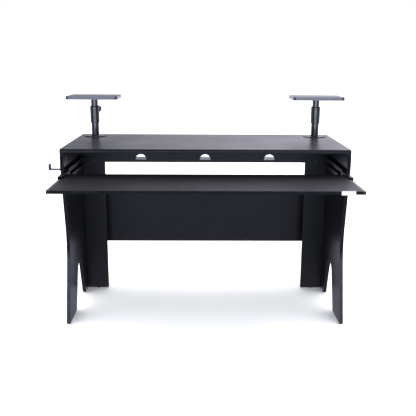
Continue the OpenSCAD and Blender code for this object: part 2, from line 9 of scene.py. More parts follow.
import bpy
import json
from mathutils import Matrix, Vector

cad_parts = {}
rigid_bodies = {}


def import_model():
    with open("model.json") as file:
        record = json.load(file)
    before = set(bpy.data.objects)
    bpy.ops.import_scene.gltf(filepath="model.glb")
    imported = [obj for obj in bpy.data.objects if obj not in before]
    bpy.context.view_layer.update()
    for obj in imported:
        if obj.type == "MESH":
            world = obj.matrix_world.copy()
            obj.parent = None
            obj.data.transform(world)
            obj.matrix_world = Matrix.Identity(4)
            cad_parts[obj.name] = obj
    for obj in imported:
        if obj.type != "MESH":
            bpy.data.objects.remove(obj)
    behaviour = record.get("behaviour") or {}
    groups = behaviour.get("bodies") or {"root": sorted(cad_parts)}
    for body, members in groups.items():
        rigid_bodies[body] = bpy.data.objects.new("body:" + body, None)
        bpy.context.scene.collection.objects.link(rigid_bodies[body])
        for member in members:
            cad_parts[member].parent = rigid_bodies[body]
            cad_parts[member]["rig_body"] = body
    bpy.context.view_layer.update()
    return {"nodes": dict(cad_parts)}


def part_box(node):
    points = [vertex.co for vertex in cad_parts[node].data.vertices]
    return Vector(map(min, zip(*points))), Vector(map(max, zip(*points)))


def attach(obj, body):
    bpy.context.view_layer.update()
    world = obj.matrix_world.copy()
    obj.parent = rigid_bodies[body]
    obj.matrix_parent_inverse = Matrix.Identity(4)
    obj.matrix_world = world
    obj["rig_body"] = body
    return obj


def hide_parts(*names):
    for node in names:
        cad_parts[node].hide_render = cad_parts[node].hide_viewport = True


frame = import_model()

# %% [markdown]
# ## Two units and a few helpers
#
# Blender works in metres, while boards and screws are thought of in millimetres, so one
# named value turns the second into the first. The helpers below do what every piece
# needs: soften its sharp edges, become an object, and take over from a CAD node.

# %% Units and tools
import json
import math

import bmesh
import bpy
from mathutils import Matrix, Vector

MM = 0.001
SHARP = math.radians(30)  # edges that turn by more than this are corners
WELD = 0.002 * MM  # points closer than this are the same point
X, Y, Z = Vector((1, 0, 0)), Vector((0, 1, 0)), Vector((0, 0, 1))


# %% [markdown]
# No real edge is perfectly sharp: laminate is trimmed, steel is deburred, plastic comes
# out of a rounded mould. The narrow facets that a bevel adds catch the light as a thin
# bright line, which is most of what makes an edge look real. The bevel works on the
# edges where the surface really turns, found by the angle between their two faces.

# %% Soft edges
def corners(shape, turn=SHARP):
    """The edges of a shape where its surface turns sharply."""
    return [e for e in shape.edges if len(e.link_faces) == 2 and e.calc_face_angle() > turn]


def soften(shape, radius, segments=2, edges=None):
    """Rounds these edges, or every corner, with that radius."""
    bmesh.ops.bevel(shape, geom=corners(shape) if edges is None else edges, offset=radius,
                    offset_type="OFFSET", segments=segments, profile=0.5, affect="EDGES",
                    clamp_overlap=True, material=-1)
    return shape


# %% [markdown]
# A finished shape becomes an object here. Its faces are shaded smooth, its real corners
# stay crisp, and a Weighted Normal modifier keeps the large flat faces looking flat.

# %% From a shape to a piece
def body_of(node):
    """The body that a CAD node moves with."""
    return frame["nodes"][node]["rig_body"]


def make_piece(name, shape, finish, slot, *nodes):
    """Turns a shape into a piece that rides with its CAD nodes and stands for them."""
    mesh = bpy.data.meshes.new(name)
    shape.to_mesh(mesh)
    shape.free()
    mesh.shade_smooth()
    mesh.set_sharp_from_angle(angle=math.radians(40))
    mesh.materials.append(finish)
    piece = bpy.data.objects.new(name, mesh)
    bpy.context.scene.collection.objects.link(piece)
    crisp = piece.modifiers.new("crisp_faces", "WEIGHTED_NORMAL")
    crisp.keep_sharp = True
    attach(piece, body_of(nodes[0]))
    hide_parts(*nodes)
    print(f"{name}: {len(mesh.polygons)} faces on {body_of(nodes[0])}")
    return piece


def add_to(shape, part):
    """Adds a finished part to a shape, and lets the part go."""
    mesh = bpy.data.meshes.new("part")
    part.to_mesh(mesh)
    part.free()
    shape.from_mesh(mesh)
    bpy.data.meshes.remove(mesh)


# %% [markdown]
# Three ways of starting a shape cover nearly the whole desk. A **block** is a cube
# stretched between two corners. A **turned** part is an outline spun round an axis, as
# on a lathe. A **copy of the CAD node**, with its loose triangles welded and its flat
# faces made whole, keeps drilled holes and curved outlines exactly where they are.

# %% Blocks, turned parts and copies
def block(low, high):
    """A box between two corners."""
    shape = bmesh.new()
    bmesh.ops.create_cube(shape, size=1)
    bmesh.ops.scale(shape, vec=high - low, verts=shape.verts)
    bmesh.ops.translate(shape, vec=(low + high) / 2, verts=shape.verts)
    return shape


def turned(outline, steps=48, closed=False):
    """An outline of (radius, height) points spun once round the Z axis."""
    shape = bmesh.new()
    points = [shape.verts.new((radius, 0, height)) for radius, height in outline]
    pairs = list(zip(points, points[1:])) + ([(points[-1], points[0])] if closed else [])
    edges = [shape.edges.new(pair) for pair in pairs]
    bmesh.ops.spin(shape, geom=points + edges, cent=(0, 0, 0), axis=Z, angle=math.tau,
                   steps=steps, use_merge=True)
    bmesh.ops.remove_doubles(shape, verts=shape.verts, dist=WELD)
    bmesh.ops.recalc_face_normals(shape, faces=shape.faces)
    return shape


def welded(node):
    """A copy of a CAD node, with its triangles joined and its flat faces whole."""
    shape = bmesh.new()
    shape.from_mesh(frame["nodes"][node].data)
    bmesh.ops.remove_doubles(shape, verts=shape.verts, dist=WELD)
    bmesh.ops.dissolve_limit(shape, angle_limit=math.radians(0.5), verts=shape.verts,
                             edges=shape.edges, use_dissolve_boundaries=False)
    return shape


def aim(direction, place):
    """The transform that turns +Z to a direction and moves the origin to a place."""
    return Matrix.Translation(place) @ direction.to_track_quat("Z", "Y").to_matrix().to_4x4()


# %% [markdown]
# Identical fasteners share one CAD node. To put a detailed screw or cap at each one, the
# node's separate solids are found by walking from face to face, and the box around each
# gives its centre and size.

# %% Find each fastener
def solids_of(node):
    """The (low corner, high corner) of every separate solid in a CAD node."""
    shape = welded(node)
    boxes, seen = [], set()
    for start in shape.verts:
        if start in seen:
            continue
        seen.add(start)
        reached, waiting = [], [start]
        while waiting:
            point = waiting.pop()
            reached.append(point.co.copy())
            for edge in point.link_edges:
                other = edge.other_vert(point)
                if other not in seen:
                    seen.add(other)
                    waiting.append(other)
        boxes.append((Vector(map(min, *reached)), Vector(map(max, *reached))))
    shape.free()
    return boxes


print("foot glides:", len(solids_of("foot_glides")), "screw caps:", len(solids_of("side_screw_caps")))

# %% [markdown]
# ## Finishes
#
# Every finish is made from nodes that read the piece's own coordinates, so a pattern
# stays put when its piece moves. Noise textures vary colour and roughness a little and
# raise a fine relief. Numbers that are the same all over are set on the shader itself.

# %% Parts of a finish
def new_finish(name, colour, roughness, metallic=0.0, ior=1.45):
    """A material with its shader's plain values set."""
    finish = bpy.data.materials.new(name)
    finish.use_nodes = True
    shader = finish.node_tree.nodes["Principled BSDF"]
    shader.inputs["Base Color"].default_value = (*colour, 1)
    shader.inputs["Roughness"].default_value = roughness
    shader.inputs["Metallic"].default_value = metallic
    shader.inputs["IOR"].default_value = ior
    return finish, finish.node_tree, shader


def cloudy(tree, scale, detail=3.0, stretch=(1, 1, 1)):
    """A noise pattern on the piece's own coordinates. A stretch below 1 draws it out."""
    place = tree.nodes.new("ShaderNodeTexCoord")
    spread = tree.nodes.new("ShaderNodeMapping")
    spread.inputs["Scale"].default_value = stretch
    noise = tree.nodes.new("ShaderNodeTexNoise")
    noise.inputs["Scale"].default_value = scale
    noise.inputs["Detail"].default_value = detail
    tree.links.new(place.outputs["Object"], spread.inputs["Vector"])
    tree.links.new(spread.outputs["Vector"], noise.inputs["Vector"])
    return noise.outputs["Fac"]


def vary_colour(tree, shader, pattern, dark, light):
    """Blends the base colour between two tones by a pattern."""
    ramp = tree.nodes.new("ShaderNodeValToRGB")
    ramp.color_ramp.elements[0].position = 0.35
    ramp.color_ramp.elements[1].position = 0.65
    ramp.color_ramp.elements[0].color = (*dark, 1)
    ramp.color_ramp.elements[1].color = (*light, 1)
    tree.links.new(pattern, ramp.inputs["Fac"])
    tree.links.new(ramp.outputs["Color"], shader.inputs["Base Color"])


def vary_roughness(tree, shader, pattern, low, high):
    """Varies the roughness between two values by a pattern."""
    span = tree.nodes.new("ShaderNodeMapRange")
    span.inputs["From Min"].default_value = 0.3
    span.inputs["From Max"].default_value = 0.7
    span.inputs["To Min"].default_value = low
    span.inputs["To Max"].default_value = high
    tree.links.new(pattern, span.inputs["Value"])
    tree.links.new(span.outputs["Result"], shader.inputs["Roughness"])


def raise_relief(tree, shader, pattern, height, strength=1.0):
    """Raises a fine relief of that height from a pattern."""
    bump = tree.nodes.new("ShaderNodeBump")
    bump.inputs["Strength"].default_value = strength
    bump.inputs["Distance"].default_value = height
    tree.links.new(pattern, bump.inputs["Height"])
    tree.links.new(bump.outputs["Normal"], shader.inputs["Normal"])


# %% [markdown]
# **Laminate.** The boards are faced with black melamine: a hard, slightly blue black
# with a satin shine. Its press plate leaves a fine pearl texture, and hands and cloths
# leave patches that are a little shinier than the rest. It is nearly black when looked
# at straight on, and mirrors the studio when seen at a low angle, which the shader's
# index of refraction gives by itself. The tray is a little more matt than the rest, and
# the platforms are a little smoother.

# %% Laminate
def laminate_finish(name, ior, low, high):
    dark, light = (0.0012, 0.0013, 0.0020), (0.0024, 0.0026, 0.0038)
    finish, tree, shader = new_finish(name, dark, low, ior=ior)
    vary_colour(tree, shader, cloudy(tree, 28), dark, light)
    vary_roughness(tree, shader, cloudy(tree, 5, 4.0), low, high)
    raise_relief(tree, shader, cloudy(tree, 900, 2.0), 0.012 * MM, 0.5)
    return finish


# %% [markdown]
# **Edge band.** The narrow edges carry a plastic band, smoother and a little bluer than
# the faces. It comes off a roll, so its only texture is faint streaks along the board.
# The platforms have a glossier band, which mirrors more of the light in front of it.

# %% Edge bands
def band_finish(name, ior, dark, light, low, high):
    finish, tree, shader = new_finish(name, dark, low, ior=ior)
    vary_colour(tree, shader, cloudy(tree, 160, 3.0, (0.5, 1, 0.5)), dark, light)
    vary_roughness(tree, shader, cloudy(tree, 120, 3.0), low, high)
    raise_relief(tree, shader, cloudy(tree, 700, 2.0, (0.05, 1, 0.05)), 0.01 * MM, 0.5)
    return finish


# %% [markdown]
# **Powder-coated steel** is sprayed on as dust and baked, which leaves the even ripple
# called orange peel. **Moulded plastic** has a finer, drier grain, and is duller. The
# posts' tubes and collars shine more than either. Their index of refraction is set higher
# than paint or plastic really has, which is a plain way to make a dark surface shinier.

# %% Coated steel and moulded plastic
def coated_finish(name, dark, light, low, high, grain, height, ior=1.48):
    finish, tree, shader = new_finish(name, dark, low, ior=ior)
    vary_colour(tree, shader, cloudy(tree, 90), dark, light)
    vary_roughness(tree, shader, cloudy(tree, 30, 4.0), low, high)
    raise_relief(tree, shader, cloudy(tree, grain, 2.0), height, 0.6)
    return finish


# %% [markdown]
# **Bare metal.** The slides are rolled from plated strip, so their grain runs along them,
# from front to back. Screws and cam housings have the cloudy shine of zinc plating.

# %% Metals
def metal_finish(name, dark, light, low, high, scale, stretch):
    finish, tree, shader = new_finish(name, dark, low, metallic=1.0)
    vary_colour(tree, shader, cloudy(tree, scale, 4.0, stretch), dark, light)
    vary_roughness(tree, shader, cloudy(tree, scale * 2, 3.0, stretch), low, high)
    raise_relief(tree, shader, cloudy(tree, scale * 6, 2.0, stretch), 0.01 * MM, 0.5)
    return finish


# %% [markdown]
# **Beech** shows only where a dowel's end is looked at from inside, but it has its own
# grain: pale, with short darker flecks along the wood.

# %% Beech
def beech_finish():
    finish, tree, shader = new_finish("beech_wood", (0.42, 0.26, 0.13), 0.6)
    dark, light = (0.30, 0.17, 0.08), (0.50, 0.33, 0.18)
    vary_colour(tree, shader, cloudy(tree, 400, 4.0, (1, 1, 0.08)), dark, light)
    raise_relief(tree, shader, cloudy(tree, 900, 2.0, (1, 1, 0.06)), 0.03 * MM, 0.6)
    return finish


# %% Mix all the finishes
laminate = laminate_finish("black_laminate", 1.42, 0.29, 0.37)
matt_laminate = laminate_finish("matt_black_laminate", 1.24, 0.40, 0.48)
smooth_laminate = laminate_finish("smooth_black_laminate", 1.42, 0.18, 0.24)
edge_band = band_finish("black_edge_band", 1.38, (0.0016, 0.0018, 0.0030), (0.0030, 0.0034, 0.0054),
                        0.15, 0.23)
bright_band = band_finish("glossy_edge_band", 1.92, (0.008, 0.008, 0.012), (0.014, 0.014, 0.020),
                          0.16, 0.24)
coated_steel = coated_finish("powder_coated_steel", (0.0030, 0.0030, 0.0040), (0.0052, 0.0052, 0.0068),
                             0.22, 0.32, 420, 0.03 * MM)
gloss_steel = coated_finish("gloss_coated_steel", (0.0040, 0.0042, 0.0070), (0.0070, 0.0074, 0.0115),
                            0.10, 0.16, 420, 0.004 * MM, 1.95)
moulded_black = coated_finish("moulded_black_plastic", (0.0036, 0.0036, 0.0048), (0.0060, 0.0060, 0.0078),
                              0.34, 0.46, 1100, 0.02 * MM)
moulded_gloss = coated_finish("polished_black_plastic", (0.0036, 0.0036, 0.0050), (0.0060, 0.0060, 0.0084),
                              0.20, 0.30, 700, 0.008 * MM, 1.95)
moulded_pale = coated_finish("moulded_pale_plastic", (0.36, 0.36, 0.39), (0.44, 0.44, 0.46),
                             0.35, 0.48, 900, 0.02 * MM)
beige_plug = coated_finish("beige_plastic", (0.060, 0.047, 0.038), (0.085, 0.068, 0.056),
                           0.38, 0.50, 900, 0.02 * MM)
slide_steel = metal_finish("black_zinc_slide_steel", (0.022, 0.023, 0.027), (0.048, 0.050, 0.058),
                           0.26, 0.40, 120, (1, 0.05, 1))
zinc = metal_finish("zinc_plating", (0.42, 0.42, 0.43), (0.62, 0.62, 0.63), 0.25, 0.42, 160, (1, 1, 1))
dull_zinc = metal_finish("dull_zinc_plating", (0.10, 0.10, 0.11), (0.17, 0.17, 0.18),
                         0.34, 0.50, 160, (1, 1, 1))
beech = beech_finish()
print("finishes:", len(bpy.data.materials))

# %% [markdown]
# ## The boards
#
# Each board is a block between the corners of its CAD node. A board's long edges are
# eased by about half a millimetre, as a trimming cutter leaves them, so two boards that
# meet show a fine dark seam between them, as real ones do.

# %% Plain boards
BOARD_EASE = 0.5 * MM


def make_board(name, node, finish, slot, ease=BOARD_EASE):
    low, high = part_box(node)
    return make_piece(name, soften(block(low, high), ease), finish, slot, node)


make_board("desktop_board", "desktop", laminate, "laminate")
for side in ("left", "right"):
    make_board(f"leg_board_{side}", f"rear_leg_{side}", laminate, "laminate")
make_board("modesty_board", "modesty_panel", laminate, "laminate")
make_board("shelf_board", "cable_shelf", laminate, "laminate")
make_board("tray_board", "keyboard_tray", matt_laminate, "laminate")


# %% [markdown]
# **The desktop's lipping** is a strip of solid black plastic along the front edge. It
# has a generous round above, where forearms rest, and is square below. The round is one
# bevel on the upper front edge; the other edges are only eased.

# %% Lipping with a rounded upper edge
LIPPING_ROUND = 9 * MM


def upper_front_edge(shape):
    """The edge of a block that is both highest and furthest forward."""
    return max(shape.edges, key=lambda e: sum((v.co.z - v.co.y) for v in e.verts))


def make_lipping():
    low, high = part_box("desktop_lipping")
    shape = block(low, high)
    soften(shape, LIPPING_ROUND, 12, [upper_front_edge(shape)])
    soften(shape, 0.6 * MM, 3)
    return make_piece("lipping_strip", shape, edge_band, "edge_band", "desktop_lipping")


make_lipping()

# %% [markdown]
# **The tray's front edge** is closed by a plastic band, one millimetre thick. It is
# softened by nearly half its thickness, so its long edges catch a thin line of light.

# %% Tray edge
make_board("tray_band_strip", "tray_edge_band", edge_band, "edge_band", 0.45 * MM)

# %% [markdown]
# **The side panels** have a curved front edge and a notch between their feet, so their
# outline comes from welded copies of the CAD nodes. The screw holes come along with it.
# The same goes for the cable panel with its half-round outlets.

# %% Curved and drilled boards
def make_copy(name, node, finish, slot, ease=BOARD_EASE, segments=2):
    return make_piece(name, soften(welded(node), ease, segments), finish, slot, node)


for side in ("left", "right"):
    make_copy(f"side_board_{side}", f"side_panel_{side}", laminate, "laminate")
make_copy("side_band_strips", "side_bands", edge_band, "edge_band", 0.35 * MM)
make_copy("cable_panel_board", "cable_panel", laminate, "laminate", 0.8 * MM)

# %% [markdown]
# ## The platforms
#
# Each platform is a board with rounded corners and a glossy band round its edge. The four
# upright edges are rounded first, with a large radius; the rims above and below are
# eased afterwards, so that the small bevel runs round the corners in one piece. The edge
# faces then get the band's finish as the mesh's second material.

# %% Platforms
CORNER_ROUND = 18 * MM


def upright_edges(shape):
    return [e for e in shape.edges if abs((e.verts[0].co - e.verts[1].co).normalized().z) > 0.99]


def make_platform(side):
    node = f"platform_{side}"
    low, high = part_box(node)
    shape = block(low, high)
    soften(shape, CORNER_ROUND, 10, upright_edges(shape))
    soften(shape, 0.7 * MM, 2, corners(shape, math.radians(60)))
    for face in shape.faces:
        face.material_index = 1 if abs(face.normal.z) < 0.5 else 0
    piece = make_piece(f"platform_board_{side}", shape, smooth_laminate, "laminate", node)
    piece.data.materials.append(bright_band)
    return piece


for side in ("left", "right"):
    make_platform(side)

# %% [markdown]
# ## The posts
#
# A post is a pile of round parts: base plate, lower tube, collar, bush, upper tube and
# top plate. The tubes and plates are turned, which needs only half the cross-section of
# each. A post's parts share one axis, which is the middle of each round part's box.

# %% Tubes, plates and bushes
def axis_of(node):
    """The middle of a node, on the floor: where its upright axis stands."""
    low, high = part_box(node)
    return Vector(((low.x + high.x) / 2, (low.y + high.y) / 2, 0))


TUBE_WALL = 1.6 * MM
TUBE_STEPS = 64


def tube_outline(radius, wall, low, high, lip=0.3 * MM):
    """A tube's wall in cross-section, with its rims broken."""
    inner = radius - wall
    return [(radius, low + lip), (radius, high - lip), (radius - lip, high), (inner + lip, high),
            (inner, high - lip), (inner, low + lip), (inner + lip, low), (radius - lip, low)]


def make_tube(name, node):
    low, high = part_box(node)
    shape = turned(tube_outline((high.x - low.x) / 2, TUBE_WALL, low.z, high.z), TUBE_STEPS, True)
    bmesh.ops.translate(shape, vec=axis_of(node), verts=shape.verts)
    return make_piece(name, shape, gloss_steel, "black_steel", node)


for side in ("left", "right"):
    make_tube(f"lower_post_{side}", f"lower_tube_{side}")
    make_tube(f"upper_post_{side}", f"upper_tube_{side}")


# %% [markdown]
# The base plate is a steel disc with a chamfered rim, and a weld bead runs round the
# foot of the tube. The bead is a small rounded hump in the outline, close to the tube.

# %% Base plates and top plates
WELD_BEAD = 3 * MM
BASE_THICK = 4 * MM
BEAD_CURVE = (1.0, 0.62, 0.3, 0.08)  # how far out the bead reaches, from its foot to its top


def disc_outline(radius, low, high, rim):
    return [(0, low), (radius - rim / 2, low), (radius, low + rim / 2), (radius, high - rim),
            (radius - rim * 0.3, high - rim * 0.3), (radius - rim, high)]


def make_base_plates():
    shape = bmesh.new()
    low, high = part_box("base_plates")
    radius = (high.y - low.y) / 2
    for side in ("left", "right"):
        tube_low, tube_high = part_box(f"lower_tube_{side}")
        tube = (tube_high.x - tube_low.x) / 2
        top = low.z + BASE_THICK
        bead = [(tube + WELD_BEAD * c, top + WELD_BEAD * (1 - c) * 0.9) for c in BEAD_CURVE]
        inside = tube - 0.2 * MM
        plate = turned([*disc_outline(radius, low.z, top, 1.0 * MM), *bead,
                        (inside, top + WELD_BEAD * 0.9), (inside, top), (0, top)], 96)
        bmesh.ops.translate(plate, vec=axis_of(f"lower_tube_{side}"), verts=plate.verts)
        add_to(shape, plate)
    return make_piece("base_discs", shape, coated_steel, "black_steel", "base_plates")


def make_top_plate(side):
    node = f"top_plate_{side}"
    low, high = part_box(node)
    shape = turned([*disc_outline((high.x - low.x) / 2, low.z, high.z, 0.8 * MM), (0, high.z)], 64)
    bmesh.ops.translate(shape, vec=axis_of(node), verts=shape.verts)
    return make_piece(f"top_disc_{side}", shape, coated_steel, "black_steel", node)


make_base_plates()
for side in ("left", "right"):
    make_top_plate(side)

# %% [markdown]
# **The collar** is a heavy moulded sleeve with a boss at the back for the clamp screw.
# Its boss and the crossing holes come from the CAD copy, with softer edges. The
# bush inside it shows only as a thin ring where the upper tube comes out.

# %% Collars, bushes and clamp parts
for side in ("left", "right"):
    make_copy(f"collar_sleeve_{side}", f"clamp_collar_{side}", moulded_gloss, "black_plastic", 0.4 * MM)
    make_copy(f"bush_sleeve_{side}", f"guide_bush_{side}", moulded_black, "black_plastic", 0.2 * MM)


# %% [markdown]
# **The clamp knob** has seven scallops for the fingers. It starts as a many-sided disc
# whose points are pulled in and out by a cosine, so the waves run smoothly into each
# other. It is then raised in steps, like a stack of rings, to get a rounded rim.

# %% Clamp knobs
KNOB_WAVES = 7
KNOB_RADIUS, KNOB_WAVE = 18.2 * MM, 1.8 * MM
KNOB_LENGTH, KNOB_NECK, NECK_RADIUS = 18 * MM, 4 * MM, 9.6 * MM


def wavy_ring(shape, height, shrink, wave):
    """A ring of points whose radius rises and falls seven times."""
    ring = bmesh.ops.create_circle(shape, segments=KNOB_WAVES * 12, radius=KNOB_RADIUS)["verts"]
    for point in ring:
        turn = math.atan2(point.co.y, point.co.x)
        radius = KNOB_RADIUS - shrink + wave * math.cos(KNOB_WAVES * turn)
        point.co = Vector((radius * math.cos(turn), radius * math.sin(turn), height))
    return ring


def join_rings(shape, lower, upper):
    """Bridges two rings of points with faces."""
    edges = {e for ring in (lower, upper) for v in ring for e in v.link_edges
             if e.other_vert(v) in ring and not e.link_faces[1:]}
    bmesh.ops.bridge_loops(shape, edges=list(edges))


def knob_shape():
    shape = bmesh.new()
    levels = [(KNOB_NECK, 3.2, 0.4), (KNOB_NECK + 0.3 * MM, 1.6, 0.8), (KNOB_NECK + 1.5 * MM, 0.3, 1.0),
              (KNOB_LENGTH - 3.0 * MM, 0.0, 1.0), (KNOB_LENGTH - 1.2 * MM, 0.7, 0.95),
              (KNOB_LENGTH - 0.3 * MM, 2.2, 0.75), (KNOB_LENGTH, 4.4, 0.4)]
    rings = [wavy_ring(shape, height, shrink * MM, KNOB_WAVE * wave) for height, shrink, wave in levels]
    for lower, upper in zip(rings, rings[1:]):
        join_rings(shape, lower, upper)
    shape.faces.new(rings[-1])
    shape.faces.new(list(reversed(rings[0])))
    neck = turned([(0, 0), (NECK_RADIUS - 0.5 * MM, 0), (NECK_RADIUS, 0.5 * MM),
                   (NECK_RADIUS, KNOB_NECK + 0.5 * MM), (0, KNOB_NECK + 0.5 * MM)], 48)
    add_to(shape, neck)
    bmesh.ops.recalc_face_normals(shape, faces=shape.faces)
    return shape


def make_knob(side):
    node = f"clamp_knob_{side}"
    low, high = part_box(node)
    post = axis_of(f"lower_tube_{side}")
    middle = (low + high) / 2
    out = Vector((middle.x - post.x, middle.y - post.y, 0)).normalized()
    shape = knob_shape()
    shape.transform(aim(out, middle - out * KNOB_LENGTH / 2))
    return make_piece(f"knob_grip_{side}", shape, moulded_black, "black_plastic", node)


for side in ("left", "right"):
    make_knob(side)

# %% [markdown]
# ## The headphone hook
#
# The hook is one strip of steel, bent twice. Its side view is drawn as eight points,
# filled, and pulled out along Y. A bent strip is round on the outside of each bend and
# tighter on the inside, so each bend's outer edge gets the strip's thickness more radius.

# %% Bent steel hook
HOOK_THICK = 2.5 * MM
HOOK_BEND = 3 * MM
HOOK_LEG = 44 * MM
HOOK_TIP = 26 * MM


def hook_shape():
    low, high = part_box("headphone_hook")
    seat = high.z - HOOK_TIP
    outline = [(high.x, seat), (high.x, seat - HOOK_LEG), (high.x - HOOK_THICK, seat - HOOK_LEG),
               (high.x - HOOK_THICK, seat - HOOK_THICK), (low.x, seat - HOOK_THICK), (low.x, high.z),
               (low.x + HOOK_THICK, high.z), (low.x + HOOK_THICK, seat)]
    shape = bmesh.new()
    side_face = shape.faces.new([shape.verts.new((x, low.y, z)) for x, z in outline])
    grown = bmesh.ops.extrude_face_region(shape, geom=[side_face])["geom"]
    far = [v for v in grown if isinstance(v, bmesh.types.BMVert)]
    bmesh.ops.translate(shape, vec=(0, high.y - low.y, 0), verts=far)
    bmesh.ops.recalc_face_normals(shape, faces=shape.faces)
    return shape, low, high, seat


def edge_at(shape, x, z):
    """The edge along Y that passes through a point of the side view."""
    return [e for e in shape.edges if all((Vector((v.co.x, 0, v.co.z)) - Vector((x, 0, z))).length < WELD
                                          for v in e.verts)]


def make_hook():
    shape, low, high, seat = hook_shape()
    soften(shape, HOOK_BEND, 6, edge_at(shape, high.x - HOOK_THICK, seat - HOOK_THICK))
    soften(shape, HOOK_BEND + HOOK_THICK, 8, edge_at(shape, high.x, seat))
    soften(shape, HOOK_BEND + HOOK_THICK, 8, edge_at(shape, low.x, seat - HOOK_THICK))
    soften(shape, HOOK_BEND, 6, edge_at(shape, low.x + HOOK_THICK, seat))
    soften(shape, 0.4 * MM, 2, corners(shape, math.radians(50)))
    return make_piece("hook_strip", shape, coated_steel, "black_steel", "headphone_hook")


make_hook()

# %% [markdown]
# ## Screws, caps and glides
#
# A screw is a turned head on a shank, with a cross-shaped socket. The socket's outline
# is a ring of twelve points moved onto a plus sign; it is bridged to the rim of the
# head, pushed down and closed, so the socket is a real recess and not a dark picture.

# %% A screw with a cross socket
def open_rim(shape):
    """The edges round a shape's one hole."""
    return [e for e in shape.edges if e.is_boundary]


def cross_ring(shape, arm, half_width, height):
    """Twelve points round a plus sign, with its edges."""
    ring = bmesh.ops.create_circle(shape, segments=12, radius=arm)["verts"]
    for point in ring:
        turn = round(math.degrees(math.atan2(point.co.y, point.co.x)) / 30) * 30 % 360
        if turn % 90 == 0:
            spot, across = half_width * math.sqrt(2), 0
            middle = math.radians(turn)
        else:
            spot, across = arm, half_width if turn % 90 > 45 else -half_width
            middle = math.radians(turn // 90 * 90 + 45)
        point.co = Vector((spot * math.cos(middle) - across * math.sin(middle),
                           spot * math.sin(middle) + across * math.cos(middle), height))
    return list({e for v in ring for e in v.link_edges})


def screw(outline, socket):
    """A turned screw whose outline ends at an open rim on top, closed by a cross socket."""
    shape = turned(outline, 24)
    top = outline[-1][1]
    cross = cross_ring(shape, socket, socket * 0.26, top)
    bmesh.ops.bridge_loops(shape, edges=open_rim(shape))
    walls = bmesh.ops.extrude_edge_only(shape, edges=cross)["geom"]
    floor = [v for v in walls if isinstance(v, bmesh.types.BMVert)]
    bmesh.ops.translate(shape, vec=(0, 0, -socket * 0.6), verts=floor)
    bmesh.ops.holes_fill(shape, edges=open_rim(shape), sides=0)
    bmesh.ops.recalc_face_normals(shape, faces=shape.faces)
    return shape


def pan_head(radius, height, shank, length):
    """A screw with a low domed head, standing on z = 0."""
    return screw([(0, -length), (shank * 0.3, -length), (shank, -length + 2 * shank), (shank, 0),
                  (radius, 0), (radius, height * 0.3), (radius * 0.9, height * 0.72),
                  (radius * 0.68, height)], radius * 0.5)


def sunk_head(radius, shank, length):
    """A screw with a countersunk head, flush with z = 0."""
    return screw([(0, -length), (shank * 0.3, -length), (shank, -length + 2 * shank),
                  (shank, shank - radius), (radius, -0.1 * MM), (radius * 0.96, 0)], radius * 0.55)


# %% [markdown]
# `make_set` puts one such shape at every solid of a shared CAD node. It needs to know
# which way the heads face. On the desk's sides that is out to the left or right, and on
# the inner faces it is towards the middle, so the direction is worked out for each.

# %% One shape at each solid of a node
def up(spot):
    return Z


def outwards(spot):
    return X if spot.x > 0 else -X


def inwards(spot):
    return -X if spot.x > 0 else X


def outer_end(low, high, facing):
    """The middle of a box's end that lies furthest along a direction."""
    half = (high - low) / 2
    return (low + high) / 2 + Vector(f * h for f, h in zip(facing, half))


def make_set(name, node, build, facing_of, seat, finish, slot):
    """Builds one part per solid; seat is how far its z = 0 lies behind the solid's outer end."""
    shape = bmesh.new()
    for low, high in solids_of(node):
        facing = facing_of((low + high) / 2)
        part = build(low, high)
        part.transform(aim(facing, outer_end(low, high, facing) - facing * seat))
        add_to(shape, part)
    return make_piece(name, shape, finish, slot, node)


# %% [markdown]
# The base plates, the hook and the tray have pan-head screws, the slides have flat
# ones, and the confirmat screws hide under domed caps.

# %% Screws
HEAD_HIGH = 2 * MM

make_set("base_plate_screws", "base_screws", lambda low, high: pan_head(4 * MM, HEAD_HIGH, 2 * MM, 14 * MM),
         up, HEAD_HIGH, zinc, "zinc_fittings")
make_set("hook_plate_screws", "hook_screws", lambda low, high: pan_head(4 * MM, HEAD_HIGH, 2 * MM, 13 * MM),
         outwards, HEAD_HIGH, zinc, "zinc_fittings")
make_set("slide_flat_screws", "slide_screws", lambda low, high: sunk_head(3.4 * MM, 1.75 * MM, 13 * MM),
         inwards, 0.05 * MM, zinc, "zinc_fittings")
make_set("tray_pan_screws", "tray_screws",
         lambda low, high: pan_head(3.5 * MM, 1.7 * MM, 1.7 * MM, 12 * MM),
         outwards, 1.75 * MM, zinc, "zinc_fittings")


# %% [markdown]
# A **cap** is a shallow moulded dome with a thin rim. A **glide** is a plastic disc with
# a rounded lower edge, nailed into the end of a board. A **plug** is a small mushroom.
# All three are outlines turned round an axis. Caps and glides are sized from the box of
# the CAD solid, and the plugs have fixed sizes.

# %% Caps, glides and plugs
def dome_cap(low, high):
    radius, height = (high.y - low.y) / 2, high.x - low.x
    return turned([(0, 0), (radius, 0), (radius, height * 0.35), (radius * 0.93, height * 0.72),
                   (radius * 0.8, height * 0.78), (radius * 0.45, height * 0.95), (0, height)], 32)


def nail_glide(low, high):
    """The glide faces down, so its outline is drawn from the sole towards the nail."""
    radius, nail = (high.x - low.x) / 2, 1.5 * MM
    thick, whole = 4 * MM, high.z - low.z
    return turned([(0, 0), (radius - 1.2 * MM, 0), (radius - 0.35 * MM, -0.35 * MM), (radius, -1.2 * MM),
                   (radius, -thick + 0.3 * MM), (radius - 0.3 * MM, -thick), (nail, -thick),
                   (nail, -whole + 2 * nail), (0, -whole)], 32)


def down(spot):
    return -Z


def forwards(spot):
    return -Y


def mushroom(radius, head, stem, length):
    return turned([(0, -length), (stem * 0.7, -length), (stem, -length + 0.5 * MM), (stem, 0), (radius, 0),
                   (radius, head * 0.4), (radius * 0.8, head * 0.85), (0, head)], 24)


